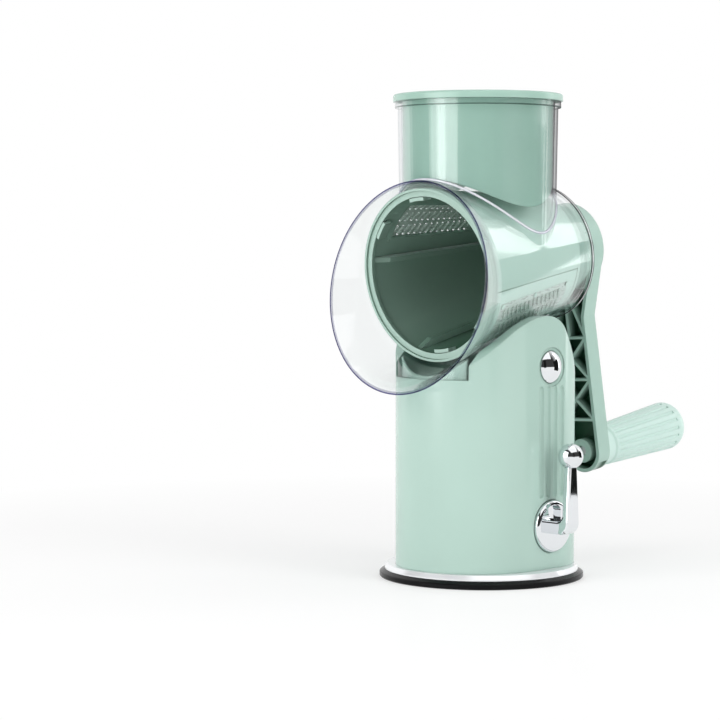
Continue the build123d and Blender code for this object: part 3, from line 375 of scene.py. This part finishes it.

# %% [markdown]
# ## Clear moulded plastic
# The housing's walls are two millimetres thick. Such thin walls hardly bend what lies behind them, so a
# glass shader, which is slow and noisy, isn't needed. The light passes straight through a tinted
# Transparent shader, and a share of it that grows toward grazing is mirrored. Where the eye looks along a
# wall the path through the plastic is long, so the tint deepens there. The collar's cut edge gathers light
# from the whole wall and looks violet blue. The lines of the cut edge, of the back rim and under the
# flange, and the dark edge on the hopper's shaded side, are painted highlights and painted shade.
# Every tint is a shader of its own, and masks mix them.

# %% Clear plastic
# heights above the drum's axis, places along it, and how far a rim stands out
shade_side = (0.707, 0.707, 0.0)
hopper_above = 0.042
below_hopper = 0.0634
cut_edge_depth = 0.0005
cut_edge_width = 0.001
rim_front = 0.0558
rim_middle = 0.0575
flange_foot = hopper_top - flange_height - axis_height + 0.0002
proud_of_barrel = 0.0002
proud_of_hopper = 0.0008
half_line = 0.00072
# how softly the lines end
cut_blur = 0.0002
crisp_blur = 0.00025
line_blur = 0.0004
wall_blur = 0.0033
shade_blur = 1.0 / 60.0


def tint(finish, *colour):
    """Light that passes straight through, coloured."""
    return finish.node("BsdfTransparent", Color=rgb(*colour))


def gloss(finish, roughness, **sockets):
    """Light that is mirrored."""
    return finish.node("BsdfGlossy", Color=rgb(1.0, 1.0, 1.0), Roughness=roughness, **sockets)


def clear_plastic(name):
    """The housing's plain wall, then the painted lines of its cut edge, its back rim and the foot of its
    flange.
    """
    finish = Finish(name)
    facing = finish.facing()
    haze = finish.noise(30.0, 3.0)
    wave = finish.bump(finish.noise(60.0, 1.0), 0.05, 0.0006)
    height = finish.along(axis_origin, up)
    down_axis = finish.along(axis_origin, axis_dir)

    # plain wall: deeper where it is seen along its length, and painted shade, nearly black, on the hopper's
    # shaded side
    shaded_half = finish.along(axis_origin, shade_side).past(0.0, shade_blur)
    hopper_shade = shaded_half * height.past(hopper_above, wall_blur)
    long_path = (facing**6.0) * (1.0 - hopper_shade) + (facing**4.0) * hopper_shade
    deep = finish.mixed(hopper_shade, tint(finish, 0.52, 0.56, 0.58), tint(finish, 0.04, 0.03, 0.04))
    wall = finish.mixed(long_path.held(), tint(finish, 0.975, 0.985, 0.985), deep)

    # cut edge of the collar, painted: a dark violet line outside as painted shade, a pale one inside as a
    # painted highlight
    on_lip = finish.along(lip_centre, lip_out).past(-cut_edge_depth, cut_blur)
    cut_edge = on_lip * height.before(below_hopper, wall_blur)
    outer_line = finish.away(lip_centre, lip_out).past(lip_radius - cut_edge_width, crisp_blur)
    lip = finish.mixed(outer_line, tint(finish, 0.80, 0.81, 0.90), tint(finish, 0.16, 0.15, 0.34))
    through = finish.mixed(cut_edge, wall, lip)

    # the raised rim at the barrel's back: a painted highlight line between two painted dark lines
    off_barrel = finish.away(axis_origin, axis_dir) - barrel_radius(down_axis)
    on_rim = off_barrel.past(proud_of_barrel, crisp_blur) * down_axis.past(rim_front, crisp_blur)
    rim_highlight_line = (down_axis - rim_middle).size().before(half_line, corner_blur)
    rim_dark_lines = on_rim * (1.0 - rim_highlight_line) * 0.95
    through = finish.mixed(rim_dark_lines, through, tint(finish, 0.05, 0.04, 0.05))

    # painted shade: a dark line under the hopper's flange
    off_hopper = finish.away((0.0, hopper_y, 0.0), up) - hopper_radius(height)
    flange_line = (height - flange_foot).size().before(half_line, line_blur)
    under_flange = flange_line * off_hopper.past(proud_of_hopper, corner_blur)
    through = finish.mixed(under_flange * 0.8, through, tint(finish, 0.12, 0.18, 0.16))

    # the mirrored share: least where the wall is seen square on, most toward grazing, cut back where the
    # hopper's painted shade lies, and raised on the cut edge's pale line as a painted highlight
    mirrored = (facing**4.0) * (0.75 - hopper_shade * 0.68) + 0.035 + cut_edge * (1.0 - outer_line) * 0.3
    clear = finish.mixed(mirrored.held(), through, gloss(finish, haze * 0.02 + 0.05, Normal=wave))
    # the pale diffuse shader on the rim's middle line is the painted highlight
    bright = finish.node("BsdfDiffuse", Color=rgb(0.93, 0.94, 0.96))
    return finish.surface(finish.mixed(on_rim * rim_highlight_line * 0.35, clear, bright))


housing_clear = clear_plastic("housing_clear")
print("clear finish:", housing_clear.name, len(housing_clear.node_tree.nodes), "nodes")

# %% [markdown]
# ## Bright plate, plain steel, spring wire
# Chrome plate is a mirror with faint smears, so its roughness wanders a little. Blade sheet and shafts
# are drawn or ground along one way. Anisotropic gloss could show that, but it needs tangents. Noise that
# is squeezed along that way gives the fine lines themselves.


# %% Metals
def chrome_plate(name, roughness=0.03, colour=(0.84, 0.86, 0.88), metal=1.0):
    """A mirror with faint smears."""
    finish = Finish(name)
    smear = finish.noise(45.0, 4.0)
    shader = finish.node(
        "BsdfPrincipled",
        Base_Color=finish.blend(smear, rgb(*colour), shaded(colour, 0.94)),
        Metallic=metal,
        Roughness=smear * 0.05 + (roughness - 0.015),
        Normal=finish.bump(smear, 0.02, 0.0005),
    )
    return finish.surface(shader)


def drawn_steel(name, colour, roughness, stretch, metal=1.0):
    """Steel with fine lines along the axis that stretch squeezes least of all."""
    finish = Finish(name)
    lines = finish.noise(900.0, 3.0, stretch)
    cloud = finish.noise(35.0, 3.0)
    shader = finish.node(
        "BsdfPrincipled",
        Base_Color=finish.blend(lines * 0.6 + cloud * 0.3, rgb(*colour), shaded(colour, 0.8)),
        Metallic=metal,
        Roughness=lines * 0.15 + (roughness - 0.07),
        Normal=finish.bump(lines, 0.12, 0.0001),
    )
    return finish.surface(shader)


lever_chrome = chrome_plate("lever_chrome")
trim_chrome = chrome_plate("trim_chrome", 0.16, (0.93, 0.94, 0.96), 0.35)
blade_steel = drawn_steel("blade_steel", (0.60, 0.72, 0.66), 0.28, (1.0, 0.06, 1.0), 0.4)
shaft_steel = drawn_steel("shaft_steel", (0.56, 0.57, 0.58), 0.3, (1.0, 0.1, 1.0))
screw_steel = drawn_steel("screw_steel", (0.5, 0.51, 0.52), 0.34, (1.0, 1.0, 0.1))
spring_steel = drawn_steel("spring_steel", (0.42, 0.42, 0.43), 0.36, (0.1, 1.0, 1.0))
print("metals:", lever_chrome.name, trim_chrome.name, blade_steel.name, shaft_steel.name)

# %% [markdown]
# ## Rubber and plain inner plastics
# The suction disc is smooth black rubber with a soft gloss and the faint bloom that rubber gets. A plain
# black would look like a hole, so slow noise lifts the colour and the roughness in patches and fast noise
# adds pores. The hidden plates, bushes and washers are plain, slightly waxy plastics, which the moulded
# finish already makes.


# %% Rubber and inner plastics
def black_rubber(name):
    """Black rubber with a bloom in patches."""
    finish = Finish(name)
    bloom = finish.noise(70.0, 5.0, rough=0.6)
    pores = finish.noise(2200.0, 2.0)
    shader = finish.node(
        "BsdfPrincipled",
        Base_Color=finish.blend(bloom, rgb(0.0015, 0.0015, 0.002), rgb(0.004, 0.004, 0.0045)),
        Roughness=bloom * 0.14 + pores * 0.08 + 0.14,
        Specular_IOR_Level=0.14,
        Normal=finish.bump(pores, 0.08, 0.0001),
        IOR=1.5,
    )
    return finish.surface(shader)


pad_rubber = black_rubber("pad_rubber")
plate_plastic = moulded_plastic("plate_plastic", (0.62, 0.62, 0.60), 0.45, grain=0.06)
bush_plastic = moulded_plastic("bush_plastic", (0.72, 0.72, 0.69), 0.36, grain=0.04)
print("rubber:", pad_rubber.name, "inner plastics:", plate_plastic.name, bush_plastic.name)

# %% [markdown]
# ## Each slot gets its finish
# Every solid piece names a material slot in the record. The finish goes on by slot, so pieces that are
# moulded or turned from one stock share it, and a new piece is dressed as soon as it names its slot.

# %% Put the finishes on
finish_of_slot = {
    "pad_rubber": pad_rubber,
    "trim_chrome": trim_chrome,
    "body_plastic": body_mint,
    "plate_plastic": plate_plastic,
    "bush_plastic": bush_plastic,
    "screw_steel": screw_steel,
    "spring_steel": spring_steel,
    "shaft_steel": shaft_steel,
    "blade_steel": blade_steel,
    "lever_chrome": lever_chrome,
    "clear_plastic": housing_clear,
    "pusher_plastic": pusher_mint,
    "crank_plastic": crank_mint,
    "drum_plastic": drum_mint,
    "insert_plastic": insert_mint,
    "grip_plastic": grip_mint,
}
slot_of_node = {entry["node"]: entry["material_slot"] for entry in frame["record"]["subparts"]}
for node_name, solid in frame["nodes"].items():
    solid.data.materials.clear()
    solid.data.materials.append(finish_of_slot[slot_of_node[node_name]])
print("pieces dressed:", len(frame["nodes"]))

# %% [markdown]
# ## The line between hopper and barrel
# Where the upright hopper runs into the leaning barrel, the moulding has a small round bead that catches
# the light. Its line lies on the hopper's wall a little above the barrel. It could be drawn by hand, but
# the wall and the barrel already say where it is: for every direction round the hopper, a few rounds of
# correction find the height where the wall is that far from the barrel's axis.

# %% Find the bead's line
bead_lift = 0.0026
bead_radius = 0.0008
first_height = 0.05


def seam_line(steps=160, rounds=12):
    """Points round the hopper's wall that lie the bead's lift above the barrel's surface."""
    points = []
    for i in range(steps):
        angle = math.tau * i / steps
        height = first_height
        for _ in range(rounds):
            x = hopper_radius(height) * math.cos(angle)
            y = hopper_radius(height) * math.sin(angle) + hopper_y
            wanted = barrel_radius(y * axis_dir[1] + height * axis_dir[2]) + bead_lift
            height = (math.sqrt(wanted * wanted - x * x) + y * axis_dir[2]) / axis_dir[1]
        points.append(Vector((x, y, height + axis_height)))
    return points


seam = seam_line()
heights = [point.z for point in seam]
print("bead's line runs from", round(min(heights), 4), "to", round(max(heights), 4), "m up")

# %% [markdown]
# ## The bead's finish
# A thick round bead of clear plastic gathers light in its middle and bends it away at its sides, where it
# looks violet. The walls' thin finish can't show that, and real refraction in so small a piece would only
# be noise. A pale diffuse core that turns violet toward grazing, with some light let through and a mirror
# on top, paints both: the pale core is a painted highlight and the violet sides are painted shade.


# %% The bead's clear plastic
def clear_bead(name):
    """Clear plastic in the round, painted: a pale highlight in its middle and violet shade at its sides."""
    finish = Finish(name)
    facing = finish.facing()
    haze = finish.noise(80.0, 3.0)
    sides = (facing * 1.6 - 0.45 + haze * 0.1).held()
    painted_core_highlight = finish.node("BsdfDiffuse", Color=rgb(0.93, 0.94, 0.97))
    painted_side_shade = finish.node("BsdfDiffuse", Color=rgb(0.24, 0.22, 0.42))
    glow = finish.mixed(sides, painted_core_highlight, painted_side_shade)
    core = finish.mixed(0.7, tint(finish, 0.95, 0.95, 0.98), glow)
    return finish.surface(finish.mixed(facing**3.0 * 0.4 + 0.05, core, gloss(finish, haze * 0.05 + 0.04)))


bead_finish = clear_bead("bead_clear")
print("bead finish:", bead_finish.name)

# %% [markdown]
# ## The bead itself
# A curve with a round bevel would make such a bead too, but its rings twist where the line turns. Here
# each ring is turned so that it stands square to the line and keeps one side on the hopper's wall, and
# neighbouring rings are joined by faces.


# %% Build the bead
def bead_along(name, points, radius, sides=10):
    """A closed round bead whose cross-section stands square to the line at every point."""
    mesh = bpy.data.meshes.new(name)
    shape = bmesh.new()
    turns = [math.tau * i / sides for i in range(sides)]
    rings = []
    for before, point, after in zip(points[-1:] + points[:-1], points, points[1:] + points[:1]):
        ahead = (after - before).normalized()
        outward = Vector((point.x, point.y - hopper_y, 0.0)).normalized()
        aside = ahead.cross(outward).normalized()
        outward = aside.cross(ahead)
        ways = [outward * math.cos(turn) + aside * math.sin(turn) for turn in turns]
        rings.append([shape.verts.new(point + way * radius) for way in ways])
    for first, second in zip(rings, rings[1:] + rings[:1]):
        for i in range(sides):
            following = (i + 1) % sides
            shape.faces.new((first[i], second[i], second[following], first[following]))
    bmesh.ops.recalc_face_normals(shape, faces=shape.faces)
    shape.to_mesh(mesh)
    shape.free()
    for face in mesh.polygons:
        face.use_smooth = True
    bead = bpy.data.objects.new(name, mesh)
    bpy.context.collection.objects.link(bead)
    return bead


hopper_bead = bead_along("hopper_bead", seam, bead_radius)
hopper_bead.data.materials.append(bead_finish)
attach(hopper_bead, "stand")
print("bead:", len(hopper_bead.data.polygons), "faces")

# %% [markdown]
# ## Floor
# The picture has a white, faintly glossy floor that runs into a white background. The floor here is a wide
# disc. A plain white one would end in a grey horizon, or would need so much light that the mint washes
# out. So it is half white board with a weak mirror on top, which takes the shadow and a faint reflection,
# and half plain white light. Further out it is that white light alone, and the world behind is the same
# white, so no horizon shows.

# %% The floor
floor_radius = 6.0
floor_corners = 64
floor_drop = 0.0002
near_floor = 0.12
floor_fade = 0.5
white = rgb(1.0, 1.0, 1.0)
floor_mesh = bpy.data.meshes.new("studio_floor")
floor_turns = [math.tau * i / floor_corners for i in range(floor_corners)]
rim = [(floor_radius * math.cos(turn), floor_radius * math.sin(turn), -floor_drop) for turn in floor_turns]
floor_mesh.from_pydata(rim, [], [tuple(range(floor_corners))])
floor = bpy.data.objects.new("studio_floor", floor_mesh)
bpy.context.collection.objects.link(floor)


def floor_finish(name):
    """White board near the shredder that turns into plain white light further out."""
    finish = Finish(name)
    far = finish.vector("LENGTH", finish.place(), out="Value").past(near_floor, floor_fade)
    seen = finish.ray("Camera").peak(finish.ray("Glossy")).peak(finish.ray("Transmission"))
    board = finish.node("BsdfDiffuse", Color=rgb(0.97, 0.97, 0.97))
    polished = finish.mixed(0.07, board, gloss(finish, 0.12))
    light = finish.node("Emission", Color=white, Strength=1.0)
    return finish.surface(finish.mixed((far * 0.5 + 0.5) * seen, polished, light))


floor.data.materials.append(floor_finish("floor_board"))
print("floor across:", 2 * floor_radius, "m")

# %% [markdown]
# ## The room
# Behind the object stands a white backdrop, and behind the camera lies the dark room. The world keeps both:
# it is plain white where it is seen straight or through the clear plastic, and for mirrors and for light it
# fades from white behind the object to dark behind the camera. An even white world would be simpler, but
# chrome and clear plastic would have nothing dark to mirror.

# %% The world
camera_turn = math.radians(45.0)
behind_object = (-math.sin(camera_turn), math.cos(camera_turn), 0.0)
world = bpy.data.worlds.new("studio")
bpy.context.scene.world = world
world.use_nodes = True
sky = Finish("studio", world.node_tree)
heading = sky.node("TexCoord", out="Generated")
backdrop_share = sky.vector("DOT_PRODUCT", heading, behind_object, out="Value").past(-0.15, 0.5)
lamp = sky.node("Background", Color=white, Strength=backdrop_share * 0.5 + 0.14)
room = sky.node("Background", Color=white, Strength=backdrop_share * 0.95 + 0.05)
backdrop = sky.node("Background", Color=white, Strength=1.0)
lit = sky.mixed(sky.ray("Glossy"), lamp, room)
seen = sky.ray("Camera").peak(sky.ray("Transmission"))
sky.node("OutputWorld", Surface=sky.mixed(seen, lit, backdrop))
print("world nodes:", len(world.node_tree.nodes))

# %% [markdown]
# ## The camera
# The picture was taken with a long lens from a little above the middle of the object, turned well round
# to its right, so that the mouth, the lever side and the crank all show. A camera could be aimed at a
# point, but two angles and a place are what a fit to the round rims of the picture gives.


# %% Place the camera
def set_up(thing, place, way):
    """Put a camera, lamp or card in the scene at a place, looking along a way."""
    thing.location = place
    thing.rotation_mode = "QUATERNION"
    thing.rotation_quaternion = way.to_track_quat("-Z", "Y")
    bpy.context.collection.objects.link(thing)


camera_place = (0.9813, -1.0909, 0.2178)
dip = math.radians(3.13)
level = math.cos(dip)
forward = Vector((-math.sin(camera_turn) * level, math.cos(camera_turn) * level, -math.sin(dip)))
camera_data = bpy.data.cameras.new("camera")
camera_data.lens = 115.25
camera_data.sensor_width = 36.0
camera_data.clip_end = 50.0
camera = bpy.data.objects.new("camera", camera_data)
set_up(camera, camera_place, forward)
bpy.context.scene.camera = camera
print("camera at", [round(v, 3) for v in camera.location])

# %% [markdown]
# ## Softboxes
# Large softboxes give the long soft bands on the plastic: one high over the object, one in front with a
# narrow brighter core, a narrow one behind for the edge of the pillar, and one on the right. Small lamps
# would give hard spots instead. The right one only lights: its mirror image would put a second band on
# the clear hopper, so glossy rays don't see it.

# %% Lamps
middle = (0.0, 0.0, 0.16)


def softbox(name, place, width, height, power):
    """A soft rectangular lamp, turned to the middle of the object."""
    data = bpy.data.lights.new(name, "AREA")
    data.shape = "RECTANGLE"
    data.size = width
    data.size_y = height
    data.energy = power
    lamp_object = bpy.data.objects.new(name, data)
    set_up(lamp_object, place, Vector(middle) - Vector(place))
    return lamp_object


lamps = [
    softbox("box_high", (0.6, -0.1, 1.5), 1.7, 1.7, 10.0),
    softbox("box_front", (-0.25, -1.58, 0.55), 1.35, 1.5, 17.0),
    softbox("box_core", (-0.31, -1.47, 0.55), 0.36, 1.3, 4.0),
    softbox("box_back", (0.63, 1.47, 0.6), 0.3, 1.4, 3.0),
]
box_right = softbox("box_right", (1.6, 0.15, 0.6), 0.7, 1.4, 13.0)
box_right.visible_glossy = False
lamps.append(box_right)
print("softboxes:", [lamp_object.name for lamp_object in lamps])

# %% [markdown]
# ## Black cards
# Chrome only looks like chrome if something dark is there to be mirrored, so three black cards stand
# round the object: one on each side of the camera, and a small one close to the lever. Darkening the room
# instead would darken the plastic too. Only mirrors see the cards.


# %% Flags
def flag(name, place, aim, width, height):
    """A black card for the bright metal to mirror."""
    mesh = bpy.data.meshes.new(name)
    x = width / 2
    y = height / 2
    mesh.from_pydata([(-x, -y, 0), (x, -y, 0), (x, y, 0), (-x, y, 0)], [], [(0, 1, 2, 3)])
    card = bpy.data.objects.new(name, mesh)
    set_up(card, place, Vector(aim) - Vector(place))
    finish = Finish(name)
    card.data.materials.append(finish.surface(finish.node("BsdfDiffuse", Color=rgb(0.012, 0.012, 0.012))))
    card.visible_camera = False
    card.visible_diffuse = False
    card.visible_shadow = False
    card.visible_transmission = False
    return card


lever_middle = (0.06, 0.01, 0.05)
flags = [
    flag("flag_right", (1.6, -0.55, 0.4), middle, 0.35, 1.4),
    flag("flag_left", (-1.2, -0.85, 0.4), middle, 0.9, 1.6),
    flag("flag_lever", (0.34, 0.34, 0.15), lever_middle, 0.3, 0.3),
]
print("flags:", [card.name for card in flags])

# %% [markdown]
# ## Colours as written
# The Standard view shows a colour about as it was written, which keeps the mint true. A look through the
# hopper, the barrel and the collar passes many clear walls, more than the usual limit of eight, and a ray
# that stops at the limit turns black. So the limit goes up.

# %% View settings and the limit on clear walls
bpy.context.scene.view_settings.view_transform = "Standard"
bpy.context.scene.cycles.transparent_max_bounces = 32
